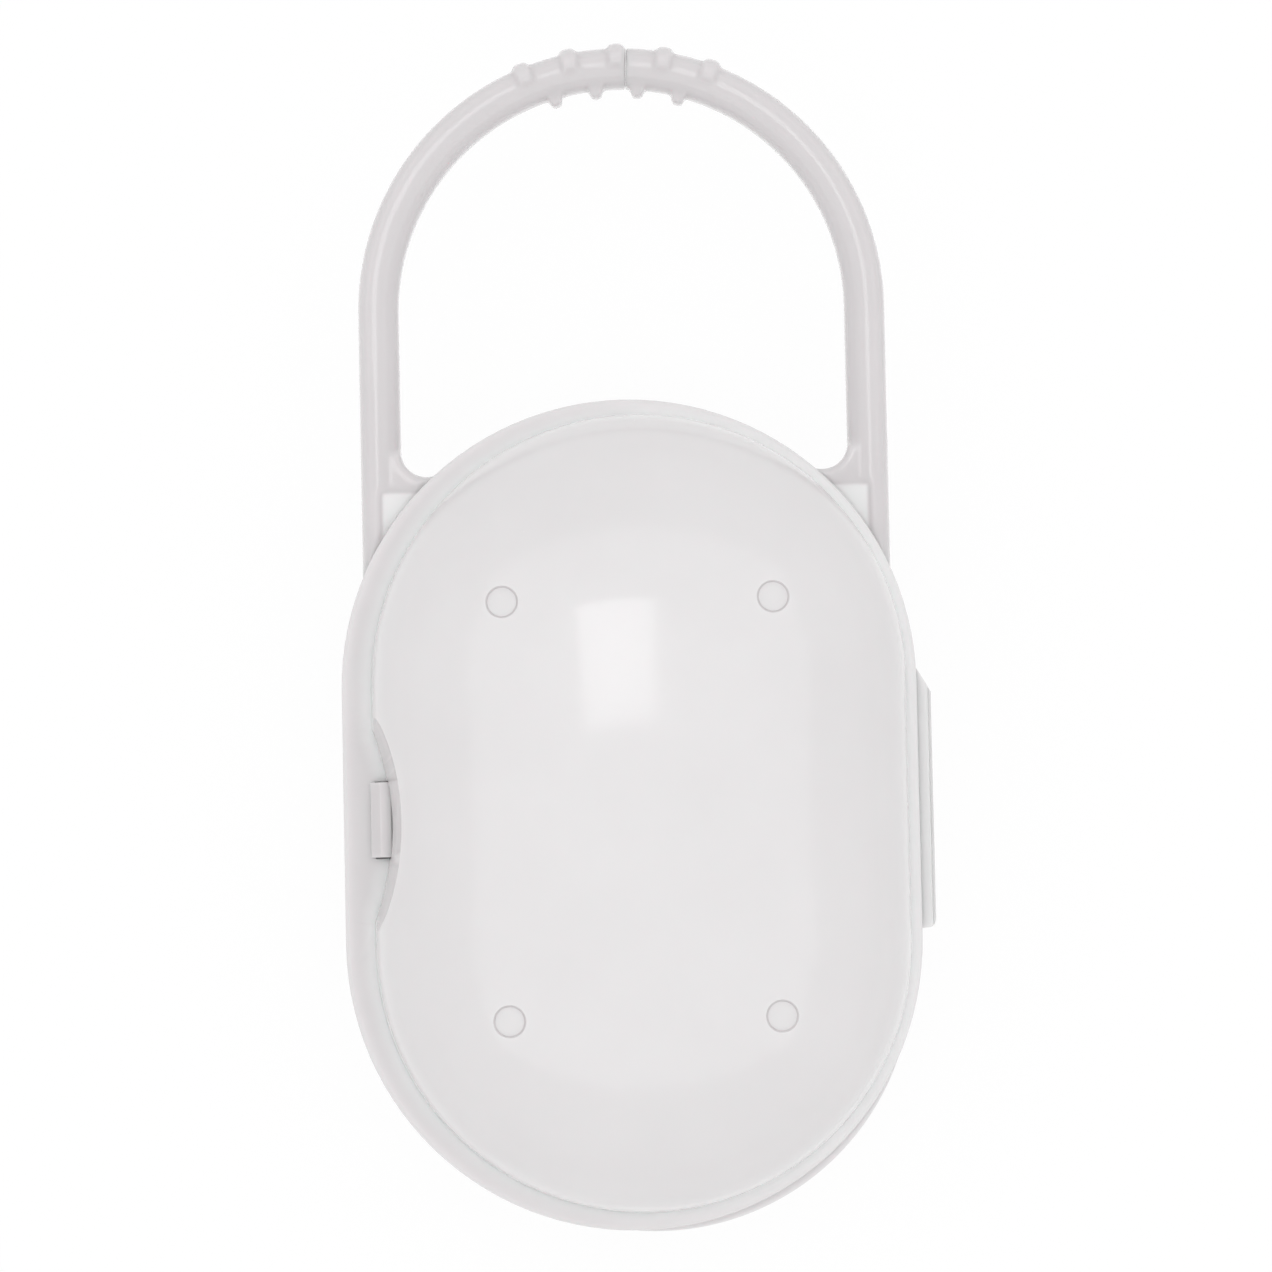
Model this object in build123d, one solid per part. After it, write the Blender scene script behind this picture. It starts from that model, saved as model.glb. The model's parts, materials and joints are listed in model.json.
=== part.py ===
from build123d import *
import math
import os

# Pacifier steriliser case: two domed plastic shells that close like a book, with a split carrying loop.
# Millimetres. The case lies on the flat floor of its rear shell: +Z is out of the front cover,
# +Y points to the carrying loop, +X is the hinge side and -X the latch side.
# The origin is the middle of the rear shell's floor.

# ---- body ----
body_length = 101.0
body_width = 70.0
rear_depth = 26.0            # floor to the plane where the two shells meet
cover_depth = 26.0           # that plane to the top of the cover's dome
wall = 1.5
rim_height = 3.0             # thickness of each shell's flat rim
parting_gap = 0.1            # between the two rims when the case is shut
dome_power = 3.4             # squareness of both shells' profiles; 2 is an ellipse
profile_end = 0.998          # share of a dome's height at which its small flat top begins
profile_sections = 9

# ---- front cover ----
rim_flange_side = 2.8        # flat rim round the dome, at the sides if the dome stood in the middle
rim_flange_end = 2.4
dome_shift_x = 1.2           # the rim is wider on the latch side
rim_round = 0.6
dimple_radius = 1.95
dimple_depth = 0.25
dimple_from_side = 19.05     # from the rim's side to a dimple, if the dome stood in the middle
dimple_from_end = 25.9

# ---- thumb scoop in the cover's latch side ----
scoop_radius = 33.0
scoop_floor_width = 5.75     # from the rim's side to the foot of the scoop's wall
scoop_centre_y = -0.9
scoop_draft_deg = 7.0

# ---- rear shell ----
rear_wall_inset = 1.0
rear_profile_extra = 3.0     # the profile's own bottom lies this far below the flat floor
lip_thickness = 1.0
lip_height = 1.4
lip_clearance = 0.3
crescent_reach = 1.0         # how far the pull crescent stands past the cover's rim
crescent_half_angle_deg = 38.0
crescent_direction_deg = -58.0
vent_width = 3.0
vent_pitch = 8.0
vent_count = 3
vent_depth = 0.9

# ---- living hinge ----
hinge_length = 31.8
hinge_centre_y = 1.2
leaf_width = 1.5
leaf_thickness = 1.0
leaf_film_gap = 0.1
film_radius = 0.35
film_clearance = 0.05
hinge_bevel_length = 3.0
hinge_end_round = 1.4

# ---- latch ----
tongue_width = 9.1
tongue_thickness = 1.2
tongue_from_side = 4.75      # from the rim's side to the middle of the tongue
tongue_centre_y = -0.25
tongue_below_parting = 6.4   # depth of the point where the tongue flexes
tongue_above_rim = 1.95
tongue_head_extra = 0.45     # the head is thicker than the tongue by this much, on its inner side
barb_reach = 0.8
barb_play = 0.25
slot_side_play = 0.45
slot_flex_room = 0.75
slot_above_tongue = 0.35
ledge_thickness = 4.0
ledge_past_tongue = 0.6

# ---- carrying loop ----
loop_centre_past_end = 11.7  # from the end of the body to the centre of the loop's arc
leg_set_in = 2.55            # each leg's outer face lies this far inside the body's side
arm_width = 5.0
arm_depth = 5.0
arm_corner = 1.8
arm_below_parting = 0.3
flex_before_end = 2.5        # each arm flexes about a point this far short of the body's end
split_angle_deg = 2.2        # the split is this far to the hinge side of the top
split_gap = 0.2
rib_pitch_deg = 10.75
rib_width = 1.7
rib_height = 0.6
inner_rib_reach = 1.1        # how far the inner ribs stand into the loop
outer_rib_count = 5
inner_rib_count = 4
seat_clearance = 0.05
seat_shoulder = 1.0
root_fillet = 3.2
pocket_rib = 3.1             # what is left of a root outside its pockets
pocket_before_end = 10.5
front_pocket_depth = 1.0
web_thickness = 1.5          # between a root's front and rear pockets

# ---- rack that keeps the pacifiers above the water ----
rack_height = 9.0
rack_thickness = 1.4
rack_wall_clearance = 0.7
well_radius = 11.0
well_past_straight = 3.5     # from the end of the body's straight sides to a well's centre
well_ring_width = 1.5
well_ring_height = 3.6
well_ring_gap = 1.0
rack_leg_radius = 2.0
rack_leg_past_well = 3.0     # from a well's edge to a leg's centre, across the rack
rack_leg_offset = 1.0        # the same legs stand this far towards the rack's ends
drain_width = 2.5
drain_length = 12.0
drain_columns_from_side = (7.3, 11.8)
drain_row_offset = 1.0       # the outer rows lie this far past the wells' centres
middle_drain_pitch = 4.2

# ---- worked out from the sizes above ----
end_radius = body_width / 2
half_straight = (body_length - body_width) / 2
dome_radius = end_radius - rim_flange_side
dome_half_straight = body_length / 2 - rim_flange_end - dome_radius
parting = rear_depth
cover_bottom = parting + parting_gap / 2
cover_rim_top = cover_bottom + rim_height
rear_rim_top = parting - parting_gap / 2
rear_rim_bottom = rear_rim_top - rim_height
cover_top = parting + cover_depth
dome_height = cover_top - cover_rim_top
hinge_x = end_radius + leaf_width
scoop_wall_x = scoop_floor_width - end_radius
tongue_x = tongue_from_side - end_radius
flex_z = parting - tongue_below_parting
loop_centre_y = body_length / 2 + loop_centre_past_end
loop_mid_radius = end_radius - leg_set_in - arm_width / 2
flex_y = body_length / 2 - flex_before_end
pocket_top_y = body_length / 2 - pocket_before_end
arm_z = parting - arm_below_parting - arm_depth / 2
well_y = half_straight + well_past_straight
rack_leg_x = well_radius + rack_leg_past_well
rack_leg_y = well_y + rack_leg_offset
floor_top = wall


def stadium(radius, half_length_of_straight):
    """A flat face with round ends of the given radius, long way along Y."""
    return SlotCenterToCenter(2 * half_length_of_straight, 2 * radius, rotation=90)


def prism(radius, straight, low, high, x=0.0):
    """An upright solid with a stadium outline, from one height to another."""
    return Pos(x, 0, low) * extrude(stadium(radius, straight), high - low)


def bowl(radius, straight, height, depth_used, start_z, direction, x=0.0):
    """A domed solid whose sections shrink as a superellipse, cut off flat at depth_used of its height."""
    last = math.asin(min(depth_used / height, profile_end) ** (dome_power / 2))
    sections = []
    for i in range(profile_sections + 1):
        t = last * i / profile_sections
        size = math.cos(t) ** (2 / dome_power)
        rise = height * math.sin(t) ** (2 / dome_power)
        place = Pos(x, 0, start_z + direction * rise)
        sections.append(place * stadium(radius * size, straight * size))
    return loft(sections)


def block(low, high):
    """A box from one corner to the opposite one."""
    size = [b - a for a, b in zip(low, high)]
    middle = [(a + b) / 2 for a, b in zip(low, high)]
    return Pos(*middle) * Box(*size)


def upright_cylinder(radius, x, y, low, high):
    return Pos(x, y, (low + high) / 2) * Cylinder(radius, high - low)


def along_y_cylinder(radius, x, z, length, centre_y):
    return Pos(x, centre_y, z) * Rot(90, 0, 0) * Cylinder(radius, length)


# ---------------------------------------------------------------- front cover
def scoop_cutter(extra, low):
    """The cone that hollows the thumb scoop, widened by extra, from height low up."""
    high = cover_top + 1
    slope = math.tan(math.radians(scoop_draft_deg))
    low_radius = scoop_radius + extra + (low - cover_rim_top) * slope
    high_radius = scoop_radius + extra + (high - cover_rim_top) * slope
    centre_x = scoop_wall_x - scoop_radius
    return Pos(centre_x, scoop_centre_y, (low + high) / 2) * Cone(low_radius, high_radius, high - low)


def latch_slot():
    """The window in the scoop's floor that the latch tongue stands in."""
    near = tongue_x - tongue_thickness / 2 - slot_side_play
    far = tongue_x + tongue_thickness / 2 + tongue_head_extra + slot_flex_room
    half = tongue_width / 2 + slot_side_play
    top = cover_rim_top + tongue_above_rim + slot_above_tongue
    return block(
        (near, tongue_centre_y - half, parting - 1), (far, tongue_centre_y + half, top)
    )


def dimple(x, y):
    """A shallow round recess whose floor follows the dome."""
    floor = bowl(
        dome_radius - dimple_depth,
        dome_half_straight,
        dome_height - dimple_depth,
        dome_height - dimple_depth,
        cover_rim_top,
        1,
        dome_shift_x,
    )
    return upright_cylinder(dimple_radius, x, y, cover_rim_top, cover_top + 1) - floor


def make_front_cover():
    rim = prism(end_radius, half_straight, cover_bottom, cover_rim_top)
    rim = fillet(rim.edges().group_by(Axis.Z)[-1], rim_round)
    dome = bowl(
        dome_radius, dome_half_straight, dome_height, dome_height, cover_rim_top, 1, dome_shift_x
    )
    outside = rim + dome
    for sx in (-1, 1):
        for sy in (-1, 1):
            dimple_x = dome_shift_x + sx * (end_radius - dimple_from_side)
            dimple_y = sy * (body_length / 2 - dimple_from_end)
            outside -= dimple(dimple_x, dimple_y)
    outside -= scoop_cutter(0, cover_rim_top)

    inner_radius = dome_radius - wall
    inner_height = dome_height - wall
    hollow = prism(
        inner_radius, dome_half_straight, cover_bottom, cover_rim_top, dome_shift_x
    )
    hollow += bowl(
        inner_radius, dome_half_straight, inner_height, inner_height, cover_rim_top, 1, dome_shift_x
    )
    rebate_top = cover_bottom + lip_height + lip_clearance
    hollow -= scoop_cutter(wall, rebate_top)
    rebate_radius = end_radius - rear_wall_inset - wall + lip_thickness + lip_clearance
    rebate = prism(rebate_radius, half_straight, cover_bottom, rebate_top)
    return outside - hollow - rebate - latch_slot()


# ---------------------------------------------------------------- rear shell
def pull_crescent():
    """A disc that stands out past the rim's far end, as a thin crescent to hold the rear shell by."""
    half_angle = math.radians(crescent_half_angle_deg)
    direction = math.radians(crescent_direction_deg)
    shift = crescent_reach / (1 - math.cos(half_angle))
    radius = end_radius + crescent_reach - shift
    x = shift * math.cos(direction)
    y = shift * math.sin(direction) - half_straight
    return upright_cylinder(radius, x, y, rear_rim_bottom, rear_rim_top)


def make_rear_shell():
    wall_radius = end_radius - rear_wall_inset
    profile_height = rear_rim_bottom + rear_profile_extra
    inner_radius = wall_radius - wall
    inner_height = profile_height - wall

    rim = prism(end_radius, half_straight, rear_rim_bottom, rear_rim_top)
    pan = bowl(
        wall_radius, half_straight, profile_height, rear_rim_bottom, rear_rim_bottom, -1
    )
    lip_top = rear_rim_top + lip_height
    lip = prism(inner_radius + lip_thickness, half_straight, rear_rim_top, lip_top)
    outside = rim + pan + lip + pull_crescent()

    hollow = prism(inner_radius, half_straight, rear_rim_bottom, lip_top)
    hollow += bowl(
        inner_radius, half_straight, inner_height, rear_rim_bottom - floor_top, rear_rim_bottom, -1
    )

    ledge = block(
        (-end_radius, tongue_centre_y - tongue_width / 2, flex_z - ledge_thickness),
        (
            tongue_x + tongue_thickness / 2 + ledge_past_tongue,
            tongue_centre_y + tongue_width / 2,
            flex_z - seat_clearance,
        ),
    )
    shell = outside - (hollow - ledge)
    seat_radius = tongue_thickness / 2 + seat_clearance
    shell -= along_y_cylinder(seat_radius, tongue_x, flex_z, tongue_width + 2, tongue_centre_y)

    end_y = body_length / 2
    for i in range(vent_count):
        vent_x = (i - (vent_count - 1) / 2) * vent_pitch
        shell -= block(
            (vent_x - vent_width / 2, end_y - end_radius / 2, rear_rim_top - vent_depth),
            (vent_x + vent_width / 2, end_y + 1, lip_top + 1),
        )
    return shell


# ---------------------------------------------------------------- living hinge
def hinge_outline():
    """Plan of the hinge bar: bevelled at the loop end, rounded at the other."""
    low_y = hinge_centre_y - hinge_length / 2
    high_y = hinge_centre_y + hinge_length / 2
    outer_x = hinge_x + film_radius
    plan = make_face(
        Polyline(
            (end_radius, low_y),
            (outer_x, low_y),
            (outer_x, high_y - hinge_bevel_length),
            (end_radius, high_y),
            close=True,
        )
    )
    corner = plan.vertices().sort_by(Axis.Y)[:2].sort_by(Axis.X)[-1]
    plan = fillet(corner, hinge_end_round)
    reach = leaf_thickness + parting_gap
    return Pos(0, 0, parting - reach) * extrude(plan, 2 * reach)


def make_rear_hinge_leaf():
    leaf = block(
        (end_radius, -body_length, rear_rim_top - leaf_thickness),
        (hinge_x - leaf_film_gap, body_length, rear_rim_top),
    )
    film = along_y_cylinder(film_radius, hinge_x, parting, 2 * body_length, 0)
    return (leaf + film) & hinge_outline()


def make_cover_hinge_leaf():
    leaf = block(
        (end_radius, -body_length, cover_bottom),
        (hinge_x - leaf_film_gap, body_length, cover_bottom + leaf_thickness),
    )
    around_film = along_y_cylinder(
        film_radius + film_clearance, hinge_x, parting, 2 * body_length, 0
    )
    return (leaf - around_film) & hinge_outline()


# ---------------------------------------------------------------- latch
def make_latch_tongue():
    left = tongue_x - tongue_thickness / 2
    right = tongue_x + tongue_thickness / 2
    top = cover_rim_top + tongue_above_rim
    barb_low = cover_rim_top + barb_play
    profile = make_face(
        Polyline(
            (left, flex_z),
            (right, flex_z),
            (right, barb_low),
            (right + tongue_head_extra, barb_low + tongue_head_extra),
            (right + tongue_head_extra, top),
            (left + tongue_thickness / 3, top),
            (left - barb_reach, barb_low + barb_reach / 2),
            (left - barb_reach, barb_low),
            (left, barb_low),
            close=True,
        )
    )
    upright = Plane.XZ * profile
    tongue = Pos(0, tongue_centre_y, 0) * extrude(upright, tongue_width / 2, both=True)
    heel = along_y_cylinder(tongue_thickness / 2, tongue_x, flex_z, tongue_width, tongue_centre_y)
    return tongue + heel


# ---------------------------------------------------------------- carrying loop
def arm_section(wider=0.0, deeper=0.0):
    """The arm's rounded cross-section, standing across the hinge-side leg, grown on every side."""
    return RectangleRounded(arm_width + 2 * wider, arm_depth + 2 * deeper, arm_corner + deeper)


def turned(section, start_deg, sweep_deg):
    """Turns a section about the loop's centre, from start_deg, measured from +X, by sweep_deg."""
    placed = Plane(
        origin=(loop_mid_radius, 0, arm_z), x_dir=(1, 0, 0), z_dir=(0, -1, 0)
    ) * section
    solid = revolve(placed, Axis.Z, sweep_deg)
    return Pos(0, loop_centre_y, 0) * Rot(0, 0, start_deg) * solid


def rib(angle_deg, side):
    """A bead over the outer (side 1) or inner (side -1) half of the arm, at an angle from the top."""
    half_box = Pos(side * arm_width, 0) * Rectangle(2 * arm_width, 2 * arm_depth)
    reach = rib_height if side > 0 else inner_rib_reach
    section = arm_section(reach, rib_height) & half_box
    half_sweep = math.degrees(rib_width / 2 / loop_mid_radius)
    return turned(section, 90 - angle_deg - half_sweep, 2 * half_sweep)


def rib_angles(count):
    return [(i - (count - 1) / 2) * rib_pitch_deg for i in range(count)]


def make_arm(side):
    """side -1 is the latch side's arm and 1 the hinge side's. The split belongs a little to the right."""
    gap_deg = math.degrees(split_gap / 2 / loop_mid_radius)
    split_at = 90 - split_angle_deg
    if side > 0:
        arm = turned(arm_section(), 0, split_at - gap_deg)
    else:
        arm = turned(arm_section(), split_at + gap_deg, 180 - split_at - gap_deg)
    leg_x = side * loop_mid_radius
    half = arm_width / 2
    leg_section = Plane(
        origin=(leg_x, flex_y - half, arm_z), x_dir=(1, 0, 0), z_dir=(0, 1, 0)
    ) * arm_section()
    leg = extrude(leg_section, loop_centre_y - flex_y + half)
    round_end = upright_cylinder(half, leg_x, flex_y, arm_z - arm_depth, arm_z + arm_depth)
    above_end = block(
        (leg_x - arm_width, flex_y, arm_z - arm_depth),
        (leg_x + arm_width, loop_centre_y, arm_z + arm_depth),
    )
    arm += leg & (round_end + above_end)
    for count, rib_side in ((outer_rib_count, 1), (inner_rib_count, -1)):
        for angle in rib_angles(count):
            if (angle > split_angle_deg) == (side > 0):
                arm += rib(angle, rib_side)
    return arm


def make_root(side):
    """The gusset that joins a leg of the loop to the rear shell's rim, thinned to a web by two pockets."""
    leg_x = side * loop_mid_radius
    half = arm_width / 2
    outer_x = leg_x + side * half
    inner_x = leg_x - side * half
    top_y = flex_y - seat_shoulder
    web_height = math.sqrt((end_radius + root_fillet) ** 2 - (abs(inner_x) - root_fillet) ** 2)
    fillet_x = inner_x - side * root_fillet
    fillet_y = half_straight + web_height
    foot_y = half_straight + math.sqrt(end_radius ** 2 - outer_x ** 2)

    leg = make_face(
        Polyline(
            (outer_x, foot_y), (outer_x, top_y), (inner_x, top_y), (inner_x, foot_y), close=True
        )
    )
    touch_x = fillet_x * end_radius / (end_radius + root_fillet)
    touch_y = half_straight + web_height * end_radius / (end_radius + root_fillet)
    web = make_face(
        Polyline(
            (leg_x, fillet_y), (fillet_x, fillet_y), (touch_x, touch_y), (leg_x, foot_y), close=True
        )
    )
    plan = leg + web - Pos(fillet_x, fillet_y) * Circle(root_fillet)
    plan -= stadium(end_radius, half_straight)
    low = arm_z - arm_depth / 2
    root = Pos(0, 0, low) * extrude(plan, arm_depth)
    root -= upright_cylinder(
        half + seat_clearance, leg_x, flex_y, low - 1, low + arm_depth + 1
    )
    pocket_x = outer_x - side * pocket_rib
    web_top = low + arm_depth - front_pocket_depth
    front_pocket = block(
        (min(pocket_x, 0), 0, web_top), (max(pocket_x, 0), pocket_top_y, low + arm_depth + 1)
    )
    rear_pocket = block(
        (min(pocket_x, 0), 0, low - 1),
        (max(pocket_x, 0), pocket_top_y, web_top - web_thickness),
    )
    return root - front_pocket - rear_pocket


# ---------------------------------------------------------------- rack
def make_rack():
    wall_radius = end_radius - rear_wall_inset - wall
    profile_height = rear_rim_bottom + rear_profile_extra - wall
    depth = (rear_rim_bottom - rack_height) / profile_height
    size = (1 - depth ** dome_power) ** (1 / dome_power)
    radius = wall_radius * size - rack_wall_clearance
    rack_top = rack_height + rack_thickness
    rack = prism(radius, half_straight * size, rack_height, rack_top)
    ring_inner = well_radius + well_ring_gap
    for sy in (-1, 1):
        y = sy * well_y
        ring_top = rack_top + well_ring_height
        rack += upright_cylinder(ring_inner + well_ring_width, 0, y, rack_height, ring_top)
        rack -= upright_cylinder(ring_inner, 0, y, rack_top, ring_top + 1)
        rack -= upright_cylinder(well_radius, 0, y, rack_height - 1, rack_top + 1)
        for sx in (-1, 1):
            rack += upright_cylinder(
                rack_leg_radius, sx * rack_leg_x, sy * rack_leg_y, floor_top, rack_top
            )
    drain = extrude(SlotOverall(drain_length, drain_width), 3 * rack_thickness)
    for from_side in drain_columns_from_side:
        for row in (-1, 0, 1):
            row_y = row * (well_y + drain_row_offset)
            for sx in (-1, 1):
                column_x = sx * (radius - from_side)
                rack -= Pos(column_x, row_y, rack_height - 1) * Rot(0, 0, 90) * drain
    for i in (-1, 0, 1):
        rack -= Pos(0, i * middle_drain_pitch, rack_height - 1) * drain
    return rack


pieces = {
    "rear_shell": make_rear_shell(),
    "front_cover": make_front_cover(),
    "rear_hinge_leaf": make_rear_hinge_leaf(),
    "cover_hinge_leaf": make_cover_hinge_leaf(),
    "latch_tongue": make_latch_tongue(),
    "handle_left_root": make_root(-1),
    "handle_right_root": make_root(1),
    "handle_left_arm": make_arm(-1),
    "handle_right_arm": make_arm(1),
    "pacifier_rack": make_rack(),
}

os.makedirs("parts", exist_ok=True)
for name, shape in pieces.items():
    export_step(shape, f"parts/{name}.step")
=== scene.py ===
import bmesh
import bpy
import json
import math
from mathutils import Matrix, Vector


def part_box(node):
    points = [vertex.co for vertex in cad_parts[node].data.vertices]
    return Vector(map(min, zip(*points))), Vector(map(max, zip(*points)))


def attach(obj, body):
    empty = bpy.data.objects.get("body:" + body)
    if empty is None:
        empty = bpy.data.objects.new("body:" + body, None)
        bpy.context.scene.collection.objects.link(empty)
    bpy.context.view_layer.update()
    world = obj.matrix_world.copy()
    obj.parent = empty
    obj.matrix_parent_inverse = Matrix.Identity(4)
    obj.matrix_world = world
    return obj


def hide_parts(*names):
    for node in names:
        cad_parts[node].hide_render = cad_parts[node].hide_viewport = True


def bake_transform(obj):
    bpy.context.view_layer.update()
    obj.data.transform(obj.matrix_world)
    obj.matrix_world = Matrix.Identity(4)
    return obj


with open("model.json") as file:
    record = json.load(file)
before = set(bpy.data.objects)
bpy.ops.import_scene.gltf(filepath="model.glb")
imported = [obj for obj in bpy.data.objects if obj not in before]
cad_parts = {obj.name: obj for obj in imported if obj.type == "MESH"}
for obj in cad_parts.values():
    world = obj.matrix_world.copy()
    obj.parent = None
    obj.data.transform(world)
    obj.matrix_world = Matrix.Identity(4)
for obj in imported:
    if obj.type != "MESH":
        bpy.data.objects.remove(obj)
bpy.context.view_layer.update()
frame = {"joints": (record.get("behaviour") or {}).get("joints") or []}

# Sizes below are millimetres unless a name says otherwise; meshes are made in metres.
MM = 0.001


def node_box(name):
    low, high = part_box(name)
    return [v / MM for v in low], [v / MM for v in high]


# ---- from the frame ----
cover_low, cover_high = node_box("front_cover")
rear_high = node_box("rear_shell")[1]
rack_low, rack_high = node_box("pacifier_rack")
tongue_low, tongue_high = node_box("latch_tongue")
leaf_low, leaf_high = node_box("rear_hinge_leaf")
joints = {j["name"]: j for j in frame["joints"]}
hinge_axis = [v / MM for v in joints["cover_hinge"]["pos_m"]]
flex_point = [v / MM for v in joints["right_arm_flex"]["pos_m"]]

end_radius = rear_high[0]
half_straight = rear_high[1] - end_radius
parting = hinge_axis[2]
cover_bottom = cover_low[2]
cover_top = cover_high[2]
rear_rim_top = 2 * parting - cover_bottom

# ---- the same sizes as the solids ----
wall = 1.5
rim_height = 3.0
rim_round = 0.6
dome_radius = 32.2
dome_half_straight = 15.9
dome_shift_x = 1.2
dome_power = 3.4
dimple_radius = 1.95
dimple_depth = 0.25
dimple_x = 15.95
dimple_y = 24.6
scoop_radius = 33.0
scoop_wall_x = -29.25
scoop_centre_y = -0.9
scoop_draft_deg = 7.0
rear_wall_inset = 1.0
rear_profile_extra = 3.0
lip_thickness = 1.0
lip_height = 1.4
lip_clearance = 0.3
crescent_reach = 1.0
crescent_half_angle_deg = 38.0
crescent_direction_deg = -58.0
arm_width = 5.0
arm_depth = 5.0
loop_centre_y = 62.2
split_angle_deg = 2.2
rib_pitch_deg = 10.75
rib_height = 0.6
inner_rib_reach = 1.1
root_fillet = 3.2
pocket_top_y = 40.0
web_thickness = 1.5

# ---- sizes that the solids have larger or narrower ----
split_gap = 0.06
rib_width = 1.9
pocket_rib = 2.5
front_pocket_depth = 0.4

cover_rim_top = cover_bottom + rim_height
rear_rim_bottom = rear_rim_top - rim_height
dome_height = cover_top - cover_rim_top
rear_profile_height = rear_rim_bottom + rear_profile_extra
arm_z = flex_point[2]
loop_mid_radius = flex_point[0]
scoop_centre_x = scoop_wall_x - scoop_radius
scoop_slope = math.tan(math.radians(scoop_draft_deg))
dimple_places = [(dome_shift_x + sx * dimple_x, sy * dimple_y) for sx in (-1, 1) for sy in (-1, 1)]


# ------------------------------------------------------------------ mesh tools
ARC_STEPS = 56
STRAIGHT_STEPS = 20
PROFILE_STEPS = 44
CIRCLE_STEPS = 96
MERGE_DISTANCE = 0.002
CUT_PAST = 1.0


def ring(radius, straight, x, z):
    """Points of a stadium outline, anticlockwise from the hinge side's lower end."""
    points = []
    for i in range(STRAIGHT_STEPS):
        points.append((x + radius, -straight + 2 * straight * i / STRAIGHT_STEPS, z))
    for i in range(ARC_STEPS):
        a = math.pi * i / ARC_STEPS
        points.append((x + radius * math.cos(a), straight + radius * math.sin(a), z))
    for i in range(STRAIGHT_STEPS):
        points.append((x - radius, straight - 2 * straight * i / STRAIGHT_STEPS, z))
    for i in range(ARC_STEPS):
        a = math.pi + math.pi * i / ARC_STEPS
        points.append((x + radius * math.cos(a), -straight + radius * math.sin(a), z))
    return points


def mesh_object(name, points, faces):
    """A mesh object from millimetre points; a closed one is turned to face outwards."""
    mesh = bpy.data.meshes.new(name)
    mesh.from_pydata([tuple(c * MM for c in p) for p in points], [], faces)
    mesh.validate()
    shape = bmesh.new()
    shape.from_mesh(mesh)
    if shape.calc_volume(signed=True) < 0:
        bmesh.ops.reverse_faces(shape, faces=shape.faces)
        shape.to_mesh(mesh)
    shape.free()
    obj = bpy.data.objects.new(name, mesh)
    bpy.context.scene.collection.objects.link(obj)
    return obj


def skin(name, rings):
    """A closed surface over rings with equal point counts; each end closes on its middle point."""
    count = len(rings[0])
    points = [p for r in rings for p in r]
    faces = []
    for j in range(len(rings) - 1):
        for i in range(count):
            k = (i + 1) % count
            faces.append((j * count + i, j * count + k, (j + 1) * count + k, (j + 1) * count + i))
    for first, flip in ((0, True), ((len(rings) - 1) * count, False)):
        group = points[first:first + count]
        points.append(tuple(sum(p[c] for p in group) / count for c in range(3)))
        for i in range(count):
            a, b = first + i, first + (i + 1) % count
            faces.append((b, a, len(points) - 1) if flip else (a, b, len(points) - 1))
    return mesh_object(name, points, faces)


def mesh_strip(name, rings):
    """A bar over equal sections, closed at both ends by its first and last section."""
    count = len(rings[0])
    points = [p for r in rings for p in r]
    faces = []
    for j in range(len(rings) - 1):
        for i in range(count):
            k = (i + 1) % count
            faces.append((j * count + i, (j + 1) * count + i, (j + 1) * count + k, j * count + k))
    faces.append(tuple(range(count)))
    faces.append(tuple(reversed(range((len(rings) - 1) * count, len(rings) * count))))
    return mesh_object(name, points, faces)


def prism_object(name, plan, low, high):
    """An upright solid over an outline in plan."""
    count = len(plan)
    points = [(x, y, low) for x, y in plan] + [(x, y, high) for x, y in plan]
    area = sum(
        plan[i][0] * plan[(i + 1) % count][1] - plan[(i + 1) % count][0] * plan[i][1]
        for i in range(count)
    )
    order = list(range(count)) if area > 0 else list(reversed(range(count)))
    faces = [tuple(reversed(order)), tuple(i + count for i in order)]
    for n in range(count):
        a, b = order[n], order[(n + 1) % count]
        faces.append((a, b, b + count, a + count))
    return mesh_object(name, points, faces)


def box_object(low, high):
    x0, y0, z0 = low
    x1, y1, z1 = high
    bottom = [(x0, y0, z0), (x1, y0, z0), (x1, y1, z0), (x0, y1, z0)]
    top = [(x, y, z1) for x, y, z in bottom]
    faces = [(3, 2, 1, 0), (4, 5, 6, 7)]
    faces += [(i, (i + 1) % 4, (i + 1) % 4 + 4, i + 4) for i in range(4)]
    return mesh_object("cutter", bottom + top, faces)


def circle(radius, x, y, z, steps=CIRCLE_STEPS):
    turn = 2 * math.pi / steps
    angles = [turn * i for i in range(steps)]
    return [(x + radius * math.cos(a), y + radius * math.sin(a), z) for a in angles]


def round_solid(name, stations, x, y, steps=CIRCLE_STEPS):
    """A solid of revolution about an upright axis, from (radius, height) stations going up."""
    return skin(name, [circle(r, x, y, z, steps) for r, z in stations])


def tube(name, inner, outer, low, high, x, y, steps):
    """An upright pipe wall."""
    corners = [(outer, low), (outer, high), (inner, high), (inner, low)]
    points = [p for radius, z in corners for p in circle(radius, x, y, z, steps)]
    faces = []
    for j in range(4):
        for i in range(steps):
            k = (i + 1) % steps
            above = (j + 1) % 4 * steps
            faces.append((j * steps + i, j * steps + k, above + k, above + i))
    return mesh_object(name, points, faces)


def step(value, low, high):
    """0 up to low and 1 from high on, with a smooth rise between them."""
    t = min(1.0, max(0.0, (value - low) / (high - low)))
    return t * t * (3 - 2 * t)


def add_modifier(obj, kind, **settings):
    modifier = obj.modifiers.new(kind.lower(), kind)
    for name, value in settings.items():
        setattr(modifier, name, value)


def apply_modifiers(obj):
    """Makes what the modifiers show the object's own mesh."""
    bpy.context.view_layer.update()
    depsgraph = bpy.context.evaluated_depsgraph_get()
    final = bpy.data.meshes.new_from_object(obj.evaluated_get(depsgraph))
    obj.modifiers.clear()
    old = obj.data
    obj.data = final
    bpy.data.meshes.remove(old)


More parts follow.
